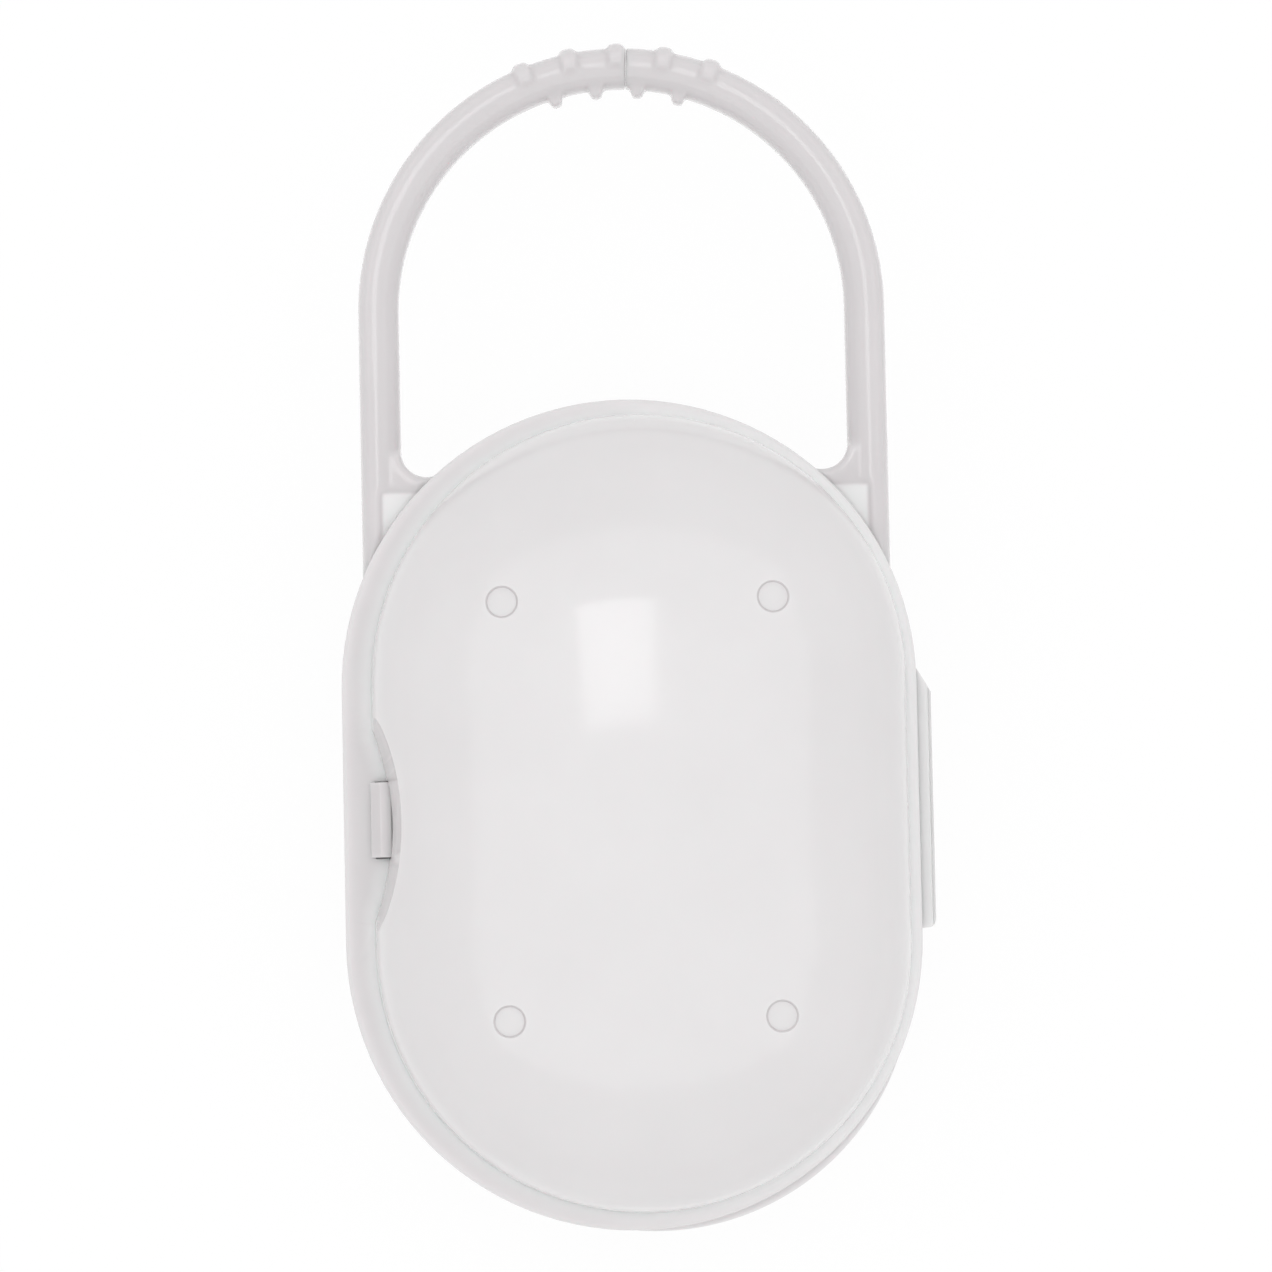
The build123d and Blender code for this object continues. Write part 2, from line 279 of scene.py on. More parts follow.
def combine(obj, other, operation):
    """Boolean of obj with other, which is used up."""
    add_modifier(obj, "BOOLEAN", operation=operation, solver="EXACT", object=other)
    apply_modifiers(obj)
    bpy.data.objects.remove(other)


def cut(obj, other):
    combine(obj, other, "DIFFERENCE")


def join(obj, other):
    combine(obj, other, "UNION")


def merge(obj):
    """Joins points that lie together, drops faces that this leaves without area and closes holes."""
    shape = bmesh.new()
    shape.from_mesh(obj.data)
    bmesh.ops.remove_doubles(shape, verts=shape.verts, dist=MERGE_DISTANCE * MM)
    bmesh.ops.dissolve_degenerate(shape, edges=shape.edges, dist=MERGE_DISTANCE * MM)
    bmesh.ops.holes_fill(shape, edges=shape.edges, sides=0)
    shape.to_mesh(obj.data)
    shape.free()


def keep_largest(obj):
    """Drops every loose island but the one with the most points."""
    shape = bmesh.new()
    shape.from_mesh(obj.data)
    left = set(shape.verts)
    islands = []
    while left:
        island, front = set(), [left.pop()]
        while front:
            vertex = front.pop()
            island.add(vertex)
            for edge in vertex.link_edges:
                other = edge.other_vert(vertex)
                if other in left:
                    left.remove(other)
                    front.append(other)
        islands.append(island)
    islands.sort(key=len)
    small = [v for island in islands[:-1] for v in island]
    bmesh.ops.delete(shape, geom=small, context="VERTS")
    shape.to_mesh(obj.data)
    shape.free()


def bevel(obj, width, angle_deg, segments):
    """Rounds the edges that are sharper than an angle."""
    add_modifier(
        obj, "BEVEL", width=width * MM, segments=segments, limit_method="ANGLE",
        angle_limit=math.radians(angle_deg), use_clamp_overlap=True,
    )
    apply_modifiers(obj)


def smooth(obj, angle_deg):
    """Shades all smooth but the edges that are sharper than an angle."""
    merge(obj)
    obj.data.shade_smooth()
    obj.data.set_sharp_from_angle(angle=math.radians(angle_deg))


def soften(obj, width, angle_deg=35, segments=2):
    """Rounds the sharp edges a little and shades the rest smooth."""
    merge(obj)
    bevel(obj, width, angle_deg, segments)
    smooth(obj, angle_deg)


def dome_rise(height, share):
    """Height of a domed profile where it has a share of its full size: 0 at the crown, 1 at the base."""
    return height * (1 - share ** dome_power) ** (1 / dome_power)


def profile_shares():
    """Shares from near the crown down to the base, close together where the profile turns."""
    turns = [math.pi / 2 * (1 - i / PROFILE_STEPS) for i in range(1, PROFILE_STEPS + 1)]
    return [max(math.cos(t), 0.0) ** (2 / dome_power) for t in turns]


def dome_rings(radius, straight, height, x, z):
    """Rings of a dome from near its crown down to its base."""
    return [
        ring(radius * share, straight * share, x, z + dome_rise(height, share))
        for share in profile_shares()
    ]


# ------------------------------------------------------------------ front cover
CREASE_RISE = 2.0
CREASE_SHARE = 0.15
CREASE_STEPS = 10
EDGE_STEPS = 6
SCOOP_STEPS = 256
SCOOP_ON_WALL = 0.02
HALVINGS = 40
DIMPLE_SLOPE = 0.3
DIMPLE_EASE = 0.05
DIMPLE_RING_SHARES = (0.3, 0.65, 1.0)
DIMPLE_STEPS = 64
SLOT_SIDE_INSET = 0.5
SLOT_END_PLAY = 0.12
SLOT_WALL_PLAY = 0.75
SLOT_TOP_PLAY = 0.35
COVER_SMOOTH_DEG = 32


def rounded_rim(outer, straight, corner, top, bottom):
    """Rings over a rim's rounded upper edge, from its flat top to its underside."""
    rings = []
    for i in range(EDGE_STEPS + 1):
        a = math.pi / 2 * (1 - i / EDGE_STEPS)
        radius = outer - corner + corner * math.cos(a)
        rings.append(ring(radius, straight, 0, top - corner + corner * math.sin(a)))
    rings.append(ring(outer, straight, 0, bottom))
    return rings


def between(first, second, share):
    """The ring a share of the way from one ring to another."""
    return [tuple(a + (b - a) * share for a, b in zip(p, q)) for p, q in zip(first, second)]


def cover_outside():
    """The dome flows into its flange over a share of the flange's width."""
    rings = dome_rings(dome_radius, dome_half_straight, dome_height, dome_shift_x, cover_rim_top)
    rings = [r for r in rings if r[0][2] > cover_rim_top + CREASE_RISE]
    rim = rounded_rim(end_radius, half_straight, rim_round, cover_rim_top, cover_bottom)
    foot = ring(dome_radius, dome_half_straight, dome_shift_x, cover_rim_top)
    above, beside = rings[-1], between(foot, rim[0], CREASE_SHARE)
    for i in range(1, CREASE_STEPS + 1):
        t = i / CREASE_STEPS
        rings.append(between(between(above, foot, t), between(foot, beside, t), t))
    return skin("front_cover_skin", rings + rim)


def cover_hollow():
    radius = dome_radius - wall
    rings = dome_rings(radius, dome_half_straight, dome_height - wall, dome_shift_x, cover_rim_top)
    rings.append(ring(radius, dome_half_straight, dome_shift_x, cover_bottom - CUT_PAST))
    return skin("hollow", rings)


def scoop_cone(extra, low):
    """What the thumb scoop takes away from a height up, or with a wall's thickness more all round."""
    heights = (low, cover_top + CUT_PAST)
    stations = [(scoop_radius + extra + (z - cover_rim_top) * scoop_slope, z) for z in heights]
    return round_solid("cutter", stations, scoop_centre_x, scoop_centre_y, SCOOP_STEPS)


def dome_z(x, y):
    """Height of the dome's outside over a point, found by halving."""
    across, along = abs(x - dome_shift_x), abs(y)
    low, high = 0.0, 1.0
    for _ in range(HALVINGS):
        share = (low + high) / 2
        past = max(0.0, along - dome_half_straight * share)
        if math.hypot(across, past) > dome_radius * share:
            low = share
        else:
            high = share
    return cover_rim_top + dome_rise(dome_height, share)


def dimple(x, y):
    """What one round dimple takes away: a dish with a sloping side, its floor following the dome."""
    edge = dimple_radius + DIMPLE_EASE
    stations = [(share * (edge - DIMPLE_SLOPE), -dimple_depth) for share in DIMPLE_RING_SHARES]
    stations.append((edge, DIMPLE_SLOPE - dimple_depth))
    rings = []
    for radius, lift in stations:
        outline = circle(radius, x, y, 0, DIMPLE_STEPS)
        rings.append([(u, v, dome_z(u, v) + lift) for u, v, _ in outline])
    rings.append(circle(edge, x, y, cover_top + 2 * CUT_PAST, DIMPLE_STEPS))
    return skin("plug", rings)


def scoop_offset(place):
    """How far a point lies outside the scoop's wall, in millimetres."""
    away = math.hypot(place.x - scoop_centre_x, place.y - scoop_centre_y)
    return away - scoop_radius - (place.z - cover_rim_top) * scoop_slope


def sharpen_scoop(cover):
    """Keeps the shading of the scoop's wall apart from the dome's."""
    shape = bmesh.new()
    shape.from_mesh(cover.data)
    for edge in shape.edges:
        if len(edge.link_faces) == 2:
            middles = [face.calc_center_median() / MM for face in edge.link_faces]
            walls = [abs(scoop_offset(middle)) < SCOOP_ON_WALL for middle in middles]
            if walls[0] != walls[1]:
                edge.smooth = False
    shape.to_mesh(cover.data)
    shape.free()


def make_cover():
    cover = cover_outside()
    for x, y in dimple_places:
        cut(cover, dimple(x, y))
    cut(cover, scoop_cone(0, cover_rim_top))
    hollow = cover_hollow()
    rebate_top = cover_bottom + lip_height + lip_clearance
    cut(hollow, scoop_cone(wall, rebate_top))
    cut(cover, hollow)
    rebate_radius = end_radius - rear_wall_inset - wall + lip_thickness + lip_clearance
    rebate = [ring(rebate_radius, half_straight, 0, z) for z in (cover_bottom - CUT_PAST, rebate_top)]
    cut(cover, skin("cutter", rebate))
    slot_low = (tongue_low[0] + SLOT_SIDE_INSET, tongue_low[1] - SLOT_END_PLAY, parting - CUT_PAST)
    slot_high = (
        tongue_high[0] + SLOT_WALL_PLAY,
        tongue_high[1] + SLOT_END_PLAY,
        tongue_high[2] + SLOT_TOP_PLAY,
    )
    cut(cover, box_object(slot_low, slot_high))
    smooth(cover, COVER_SMOOTH_DEG)
    sharpen_scoop(cover)
    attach(cover, "cover")
    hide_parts("front_cover")
    return cover


# ------------------------------------------------------------------ rear shell
FLOOR_BLEND = 0.5
LIP_CHAMFER = 0.3
VENT_COUNT = 3
VENT_WIDTH = 3.0
VENT_PITCH = 8.0
VENT_DEPTH = 0.9
CRESCENT_INSET = 0.7
CRESCENT_STEPS = 48
CRESCENT_OVERSHOOT = 1.25
CRESCENT_LEAST_DEPTH = 0.05
CRESCENT_ABOVE_RIM = 0.3
CRESCENT_BELOW_TOP = 0.02
SHELL_EDGE = 0.2


def pan_rings(radius, straight, height, floor):
    """Rings from the middle of a flat floor out and up to the rim, with the corner rounded off."""
    rings = []
    for share in profile_shares():
        above = rear_rim_bottom - dome_rise(height, share) - floor
        z = floor + (above + math.sqrt(above * above + FLOOR_BLEND ** 2)) / 2
        rings.append(ring(radius * share, straight * share, 0, min(z, rear_rim_bottom)))
    return rings


def pull_crescent():
    """A sickle on the rim for a fingertip, between the rim's own arc and a wider one."""
    half_angle = math.radians(crescent_half_angle_deg)
    direction = math.radians(crescent_direction_deg)
    shift = crescent_reach / (1 - math.cos(half_angle))
    radius = end_radius + crescent_reach - shift
    x = shift * math.cos(direction)
    y = shift * math.sin(direction) - half_straight
    inset = end_radius - CRESCENT_INSET
    outer, inner = [], []
    for i in range(CRESCENT_STEPS + 1):
        a = direction + half_angle * CRESCENT_OVERSHOOT * (2 * i / CRESCENT_STEPS - 1)
        outer.append((x + radius * math.cos(a), y + radius * math.sin(a)))
        inner.append((inset * math.cos(a), inset * math.sin(a) - half_straight))
    least = inset + CRESCENT_LEAST_DEPTH
    kept = [k for k in range(len(outer)) if math.dist(outer[k], (0, -half_straight)) > least]
    plan = [outer[k] for k in kept] + [inner[k] for k in reversed(kept)]
    low, high = rear_rim_bottom + CRESCENT_ABOVE_RIM, rear_rim_top - CRESCENT_BELOW_TOP
    return prism_object("crescent", plan, low, high)


def make_rear():
    """The outside up to the rim, the lip on it, and the inside back down to the floor, as one skin."""
    wall_radius = end_radius - rear_wall_inset
    inner_radius = wall_radius - wall
    lip_radius = inner_radius + lip_thickness
    lip_top = rear_rim_top + lip_height
    rings = pan_rings(wall_radius, half_straight, rear_profile_height, 0)
    for i in range(EDGE_STEPS + 1):
        a = math.pi / 2 * i / EDGE_STEPS
        radius = end_radius - rim_round + rim_round * math.sin(a)
        z = rear_rim_bottom + rim_round - rim_round * math.cos(a)
        rings.append(ring(radius, half_straight, 0, z))
    for radius, z in (
        (end_radius, rear_rim_top), (lip_radius, rear_rim_top), (lip_radius, lip_top - LIP_CHAMFER),
        (lip_radius - LIP_CHAMFER, lip_top), (inner_radius, lip_top),
    ):
        rings.append(ring(radius, half_straight, 0, z))
    inside = pan_rings(inner_radius, half_straight, rear_profile_height - wall, wall)
    rings += reversed(inside)
    shell = skin("rear_shell_skin", rings)
    end_y = end_radius + half_straight
    for i in range(VENT_COUNT):
        x = (i - (VENT_COUNT - 1) / 2) * VENT_PITCH
        low = (x - VENT_WIDTH / 2, end_y - end_radius / 2, rear_rim_top - VENT_DEPTH)
        cut(shell, box_object(low, (x + VENT_WIDTH / 2, end_y + CUT_PAST, lip_top + CUT_PAST)))
    join(shell, pull_crescent())
    soften(shell, SHELL_EDGE)
    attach(shell, "case")
    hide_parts("rear_shell")
    return shell


# ------------------------------------------------------------------ carrying loop
SECTION_STEPS = 40
LEG_STEPS = 24
ARCH_STEPS = 330
ARM_FRONT_POWER = 2.7
ARM_BACK_POWER = 3.4
ARM_CREST = 0.35
OUTER_RIBS = 5
INNER_RIBS = 4
RIB_POWER = 2.6
RIB_BLEND = 0.2
OUTER_RIB_FROM = 0.0
INNER_RIB_FROM = 0.78
RIB_FRONT_RISE = 0.4
ROOT_STEPS = 16
ROOT_OVERLAP = 1.6
ROOT_BACK_INSET = 0.02
ROOT_FRONT_INSET = 0.15
ROOT_EDGE = 1.4
ROOT_EDGE_DEG = 60
ROOT_EDGE_SEGMENTS = 4
RIM_GAP = 0.02
LOOP_CUT_PAST = 5
POCKET_INNER_X = 15
POCKET_LOW_Y = 28.0
LOOP_VOXEL = 0.2
RELAX_FACTOR = 0.5
RELAX_ITERATIONS = 4
ROOT_RELAX_ITERATIONS = 30
ROOT_RELAX_FADE = (2, 8)
LOOP_SMOOTH_DEG = 80


def section_share(angle):
    """Rounded arm section as shares (outward, up) of its half sizes. Its front has a low crest."""
    c, s = math.cos(angle), math.sin(angle)
    power = ARM_FRONT_POWER if s > 0 else ARM_BACK_POWER
    size = (abs(c) ** power + abs(s) ** power) ** (-1 / power)
    out, up = c * size, s * size
    if s > 0:
        out += ARM_CREST * up * (1 - abs(out))
    return out, up


def rib_share(angle_deg, side):
    """Share of their height that the outer (1) or inner (-1) ribs have at an angle from the top."""
    count = OUTER_RIBS if side > 0 else INNER_RIBS
    reach = math.degrees(rib_width / 2 / loop_mid_radius)
    best = 0.0
    for i in range(count):
        off = abs(angle_deg - (i - (count - 1) / 2) * rib_pitch_deg) / reach
        if off < 1:
            best = max(best, (1 - off ** RIB_POWER) ** (1 / RIB_POWER))
    return best


def arm_section(outer_rib=0.0, inner_rib=0.0):
    """(outward, up) in millimetres round the arm's section, raised by the ribs that pass there."""
    points = []
    for k in range(SECTION_STEPS):
        out, up = section_share(2 * math.pi * k / SECTION_STEPS)
        outer = outer_rib * step(out, OUTER_RIB_FROM, OUTER_RIB_FROM + RIB_BLEND)
        inner = inner_rib * step(-out, INNER_RIB_FROM, INNER_RIB_FROM + RIB_BLEND)
        wider = rib_height * outer + inner_rib_reach * inner
        deeper = RIB_FRONT_RISE * outer
        points.append(((arm_width / 2 + wider) * out, (arm_depth / 2 + deeper) * up))
    return points


def arm_rings(side):
    """Sections from the leg's lower end to the split. side -1 is the latch side."""
    rings = []
    start_y = half_straight + math.sqrt(end_radius ** 2 - (loop_mid_radius + arm_width / 2) ** 2)
    for i in range(LEG_STEPS):
        y = start_y + (loop_centre_y - start_y) * i / LEG_STEPS
        rings.append([(side * (loop_mid_radius + out), y, arm_z + up) for out, up in arm_section()])
    gap_deg = math.degrees(split_gap / 2 / loop_mid_radius)
    total = 90 - (split_angle_deg * side + gap_deg)
    for i in range(ARCH_STEPS + 1):
        from_top = 90 - total * i / ARCH_STEPS
        turn = math.radians(from_top)
        section = []
        for out, up in arm_section(rib_share(side * from_top, 1), rib_share(side * from_top, -1)):
            radius = loop_mid_radius + out
            x = side * radius * math.sin(turn)
            section.append((x, loop_centre_y + radius * math.cos(turn), arm_z + up))
        rings.append(section)
    if side < 0:
        rings = [list(reversed(r)) for r in rings]
    return rings


def root_plan(side):
    """Outline in plan of the gusset between the leg's middle and the rim, as a list of points."""
    half = arm_width / 2
    inner_x = loop_mid_radius - half
    web_height = math.sqrt((end_radius + root_fillet) ** 2 - (inner_x - root_fillet) ** 2)
    fillet_x = inner_x - root_fillet
    fillet_y = half_straight + web_height
    touch = math.atan2(web_height, fillet_x)
    foot = math.acos(loop_mid_radius / end_radius)
    points = [(loop_mid_radius, fillet_y)]
    for i in range(ROOT_STEPS + 1):
        a = -(math.pi - touch) * i / ROOT_STEPS
        points.append((fillet_x + root_fillet * math.cos(a), fillet_y + root_fillet * math.sin(a)))
    inside = end_radius - ROOT_OVERLAP
    for i in range(ROOT_STEPS + 1):
        a = touch + (foot - touch) * i / ROOT_STEPS
        points.append((inside * math.cos(a), half_straight + inside * math.sin(a)))
    return [(side * x, y) for x, y in points]


def make_loop_half(side, word):
    """One arm with its root, as one voxel mesh, smoothed more near the root."""
    half = skin(f"loop_{word}", arm_rings(side))
    low = arm_z - arm_depth / 2
    high = low + arm_depth
    root = prism_object("root", root_plan(side), low + ROOT_BACK_INSET, high - ROOT_FRONT_INSET)
    bevel(root, ROOT_EDGE, ROOT_EDGE_DEG, ROOT_EDGE_SEGMENTS)
    join(half, root)
    above, below = high + LOOP_CUT_PAST, low - LOOP_CUT_PAST
    cut(half, skin("rim", [ring(end_radius + RIM_GAP, half_straight, 0, z) for z in (above, below)]))
    pocket_x = side * (loop_mid_radius + arm_width / 2 - pocket_rib)
    x_ends = sorted((pocket_x, side * POCKET_INNER_X))
    web_top = high - front_pocket_depth
    for bottom, top in ((web_top, above), (below, web_top - web_thickness)):
        cut(half, box_object((x_ends[0], POCKET_LOW_Y, bottom), (x_ends[1], pocket_top_y, top)))
    add_modifier(half, "REMESH", mode="VOXEL", voxel_size=LOOP_VOXEL * MM)
    add_modifier(half, "SMOOTH", factor=RELAX_FACTOR, iterations=RELAX_ITERATIONS)
    apply_modifiers(half)
    keep_largest(half)
    near_root = half.vertex_groups.new(name="near_root")
    fade_from, fade_to = (flex_point[1] + y for y in ROOT_RELAX_FADE)
    for v in half.data.vertices:
        weight = 1 - step(v.co.y / MM, fade_from, fade_to)
        if weight > 0:
            near_root.add([v.index], weight, "REPLACE")
    add_modifier(
        half, "SMOOTH", factor=RELAX_FACTOR, iterations=ROOT_RELAX_ITERATIONS, vertex_group="near_root"
    )
    apply_modifiers(half)
    smooth(half, LOOP_SMOOTH_DEG)
    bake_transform(half)
    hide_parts(f"handle_{word}_arm", f"handle_{word}_root")
    return half


# ------------------------------------------------------------------ living hinge
LEAF_THICKNESS = 1.0
LEAF_INSET = 0.1
LEAF_CORNER = 0.3
LEAF_CORNER_STEPS = 3
FILM_OUTSIDE = 0.35
FILM_INSIDE = 0.12
FILM_STEPS = 10
HINGE_BEVEL = 3.0
HINGE_ROUND = 1.4
HINGE_ROUND_POWER = 4
HINGE_STATIONS = 80
HINGE_SMOOTH_DEG = 45


def hinge_section():
    """(x, height over the parting) round both leaves and the film at their outer edge."""
    gap = cover_bottom - parting
    outer = hinge_axis[0] - LEAF_INSET
    bottom = -gap - LEAF_THICKNESS
    lower = [(end_radius, bottom)]
    for i in range(LEAF_CORNER_STEPS + 1):
        a = -math.pi / 2 + math.pi / 2 * i / LEAF_CORNER_STEPS
        x = outer - LEAF_CORNER + LEAF_CORNER * math.cos(a)
        lower.append((x, bottom + LEAF_CORNER + LEAF_CORNER * math.sin(a)))
    section = list(lower)
    for i in range(FILM_STEPS + 1):
        a = -math.pi / 2 + math.pi * i / FILM_STEPS
        section.append((hinge_axis[0] + FILM_OUTSIDE * math.cos(a), FILM_OUTSIDE * math.sin(a)))
    section += [(x, -z) for x, z in reversed(lower)]
    section.append((end_radius, gap))
    for i in range(FILM_STEPS + 1):
        a = math.pi / 2 - math.pi * i / FILM_STEPS
        section.append((outer + FILM_INSIDE * math.cos(a), gap * math.sin(a)))
    section.append((end_radius, -gap))
    return section


def make_hinge():
    """Two leaves and their film as one strip, bevelled at its upper end and rounded at its lower."""
    low_y, high_y = leaf_low[1], leaf_high[1]
    span = hinge_axis[0] + FILM_OUTSIDE - end_radius
    section = hinge_section()
    rings = []
    for i in range(HINGE_STATIONS + 1):
        share = i / HINGE_STATIONS
        y = low_y + (high_y - low_y) * (0.5 - 0.5 * math.cos(math.pi * share))
        points = []
        for x, z in section:
            from_root = (x - end_radius) / span
            top = high_y - HINGE_BEVEL * from_root
            rounded = 1 - math.sqrt(max(0.0, 1 - from_root ** HINGE_ROUND_POWER))
            bottom = low_y + HINGE_ROUND * rounded
            points.append((x, min(max(y, bottom), top), parting + z))
        rings.append(points)
    hinge = mesh_strip("hinge_strip", rings)
    smooth(hinge, HINGE_SMOOTH_DEG)
    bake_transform(hinge)
    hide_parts("rear_hinge_leaf", "cover_hinge_leaf")
    return hinge


# ------------------------------------------------------------------ latch
STEM_INSET = 0.8
STEM_BACK = 0.45
STEM_CHAMFER = 0.3
HEAD_PROUD = 0.13
HEAD_FLARE = 0.45
HEAD_CHAMFER = 0.4
BARB_CLEAR = 0.25
BARB_EDGE = 0.4
TONGUE_EDGE = 0.15
TONGUE_EDGE_DEG = 30
TONGUE_EDGE_SEGMENTS = 3


def make_tongue():
    """A stem with a barb over the cover's edge on one side and a head that overhangs on the other."""
    left = tongue_low[0] + STEM_INSET
    right = tongue_high[0] - STEM_BACK
    head_right = tongue_high[0] + HEAD_PROUD
    foot, top = tongue_low[2], tongue_high[2]
    barb_low = cover_rim_top + BARB_CLEAR
    profile = [
        (left, foot + STEM_CHAMFER), (left + STEM_CHAMFER, foot), (right - STEM_CHAMFER, foot),
        (right, foot + STEM_CHAMFER), (right, barb_low), (head_right, barb_low + HEAD_FLARE),
        (head_right, top), (left + HEAD_CHAMFER, top), (left - STEM_INSET, barb_low + BARB_EDGE),
        (left - STEM_INSET, barb_low), (left, barb_low),
    ]
    rings = [[(x, y, z) for x, z in profile] for y in (tongue_low[1], tongue_high[1])]
    tongue = mesh_strip("latch_tab", rings)
    soften(tongue, TONGUE_EDGE, TONGUE_EDGE_DEG, TONGUE_EDGE_SEGMENTS)
    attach(tongue, "latch")
    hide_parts("latch_tongue")
    return tongue


# ------------------------------------------------------------------ rack
PLATE_LOW = 9.0
PLATE_TOP = 10.4
SUNK = 0.1
WELL_Y = 19.0
WELL_RADIUS = 11.0
COLLAR_INSIDE = 12.0
COLLAR_OUTSIDE = 13.5
COLLAR_STEPS = 90
FOOT_X = 14
FOOT_Y = 20
FOOT_RADIUS = 2.0
FOOT_STEPS = 32
SIDE_DRAINS_X = (-23.0, -18.5, 18.5, 23.0)
SIDE_DRAINS_Y = (-20.0, 0.0, 20.0)
MIDDLE_DRAINS_Y = (-4.2, 0.0, 4.2)
DRAIN_LENGTH = 12.0
DRAIN_WIDTH = 2.5
DRAIN_CUT = (8.0, 11.5)
DRAIN_END_STEPS = 12
RACK_EDGE = 0.15


def drain(x, y, size_x, size_y):
    """A slot with round ends through the rack's plate."""
    width = min(size_x, size_y)
    half = (max(size_x, size_y) - width) / 2
    points = []
    for i in range(2 * DRAIN_END_STEPS):
        a = math.pi * i / DRAIN_END_STEPS
        along = half if 0 <= a < math.pi else -half
        u, v = width / 2 * math.cos(a), width / 2 * math.sin(a) + along
        points.append((x + u, y + v) if size_y > size_x else (x + v, y - u))
    return prism_object("cutter", points, *DRAIN_CUT)


def make_rack():
    """A plate on four feet, with a collar round each of its two wells and drain slots."""
    radius = rack_high[0]
    straight = rack_high[1] - radius
    rack = skin("rack", [ring(radius, straight, 0, z) for z in (PLATE_TOP, PLATE_LOW)])
    well = [(WELL_RADIUS, PLATE_LOW - CUT_PAST), (WELL_RADIUS, PLATE_TOP + CUT_PAST)]
    foot = [(FOOT_RADIUS, rack_low[2]), (FOOT_RADIUS, PLATE_TOP - SUNK)]
    for sy in (-1, 1):
        y = sy * WELL_Y
        cut(rack, round_solid("cutter", well, 0, y))
        collar = (COLLAR_INSIDE, COLLAR_OUTSIDE, PLATE_LOW + SUNK, rack_high[2])
        join(rack, tube("collar", *collar, 0, y, COLLAR_STEPS))
        for sx in (-1, 1):
            join(rack, round_solid("leg", foot, sx * FOOT_X, sy * FOOT_Y, FOOT_STEPS))
    for x in SIDE_DRAINS_X:
        for y in SIDE_DRAINS_Y:
            cut(rack, drain(x, y, DRAIN_WIDTH, DRAIN_LENGTH))
    for y in MIDDLE_DRAINS_Y:
        cut(rack, drain(0, y, DRAIN_LENGTH, DRAIN_WIDTH))
    soften(rack, RACK_EDGE)
    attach(rack, "case")
    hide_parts("pacifier_rack")
    return rack


# ------------------------------------------------------------------ materials
def mark_thickness_and_shade(obj, rule):
    """Stores on each corner how dense the plastic looks there, 0 to 1, with painted shade and painted
    light worked into the same mark.

    rule gets the corner's place, its normal and the middle of its face.
    """
    mesh = obj.data
    values = [0.0] * len(mesh.loops)
    for face in mesh.polygons:
        middle = face.center / MM
        for k in face.loop_indices:
            place = mesh.vertices[mesh.loops[k].vertex_index].co / MM
            values[k] = min(1.0, max(0.0, rule(place, mesh.corner_normals[k].vector, middle)))
    attribute = mesh.attributes.new("thick_and_shade", "FLOAT", "CORNER")
    attribute.data.foreach_set("value", values)


CREASE_LIGHT = 0.25
CREASE_REACH = 2.4
# Levels of the corner mark below: the thin dome's own tone, the rim's darker level (thicker plastic with
# painted shade), and a share of painted shade on steep walls.
SHELL_THIN = 0.35
SHELL_RIM_SHADE = 0.5
STEEP_SHADE_SHARE = 0.35
STEEP_FADE = (0.02, 0.8)
COVER_RIM_FADE = (0.1, 5.0)
REAR_RIM_FADE = 4.0
DIMPLE_SIDE_SHADE = 1.0
DIMPLE_SIDE_REACH = 0.4
DIMPLE_SIDE_LEAN = 0.2
BARB_SLOPE_NORMAL_X = (-0.9, -0.3)
BARB_SHADE = 0.7
TONGUE_THICK = 0.43
WEB_FADE = (-0.1, 0.5)
WEB_FACING = (0.3, 0.8)


def shell_thickness_and_shade(rim, normal):
    """Darker toward the rim (1 at the rim, 0 away from it), partly for the thicker plastic there and
    partly as painted shade, and painted shade where the wall is steep.
    """
    steep = STEEP_SHADE_SHARE * step(1 - abs(normal.z), *STEEP_FADE)
    return SHELL_THIN + (SHELL_RIM_SHADE - SHELL_THIN) * max(rim, steep)


def cover_thickness_and_shade(place, normal, middle):
    """As the shell's, with painted shade at its darkest on the sloping side of each dimple."""
    for x, y in dimple_places:
        aside, along = middle.x - x, middle.y - y
        away = math.hypot(aside, along)
        inward = -(normal.x * aside + normal.y * along) / max(away, 0.01)
        on_side = abs(away - dimple_radius) < DIMPLE_SIDE_REACH and inward > DIMPLE_SIDE_LEAN
        if normal.z > 0 and on_side:
            return DIMPLE_SIDE_SHADE
    fade_from, fade_to = (cover_rim_top + z for z in COVER_RIM_FADE)
    return shell_thickness_and_shade(1 - step(place.z, fade_from, fade_to), normal)


# Painted shade, as the shell's: darker toward the rim and on steep walls.
def rear_thickness_and_shade(place, normal, middle):
    rim = step(place.z, rear_rim_bottom - REAR_RIM_FADE, rear_rim_bottom)
    return shell_thickness_and_shade(rim, normal)


def tongue_shade_mark(place, normal, middle):
    """Painted shade: the barb's slope is darker than the head's flat top."""
    low, high = BARB_SLOPE_NORMAL_X
    return BARB_SHADE if low < normal.x < high else TONGUE_THICK


def handle_thickness_and_light(place, normal, middle):
    """Dense all over but for the web in each root, where painted light stands for the light that the
    thin web lets through against the shade it lies in.
    """
    across = loop_mid_radius + arm_width / 2 - pocket_rib - abs(place.x)
    web = step(across, *WEB_FADE) * step(pocket_top_y - place.y, *WEB_FADE)
    return 1 - web * step(normal.z, *WEB_FACING)


# Sockets of a colour Mix node, which have no names of their own.
MIX_FACTOR, MIX_THIN_AND_LIT, MIX_THICK_AND_SHADE, MIX_RESULT = 0, 6, 7, 2


def add_node(tree, kind, **settings):
    node = tree.nodes.new(kind)
    for name, value in settings.items():
        setattr(node, name, value)
    return node


def noise(tree, place, scale, detail):
    node = add_node(tree, "ShaderNodeTexNoise")
    node.inputs["Scale"].default_value = scale
    node.inputs["Detail"].default_value = detail
    tree.links.new(place.outputs["Object"], node.inputs["Vector"])
    return node.outputs["Fac"]


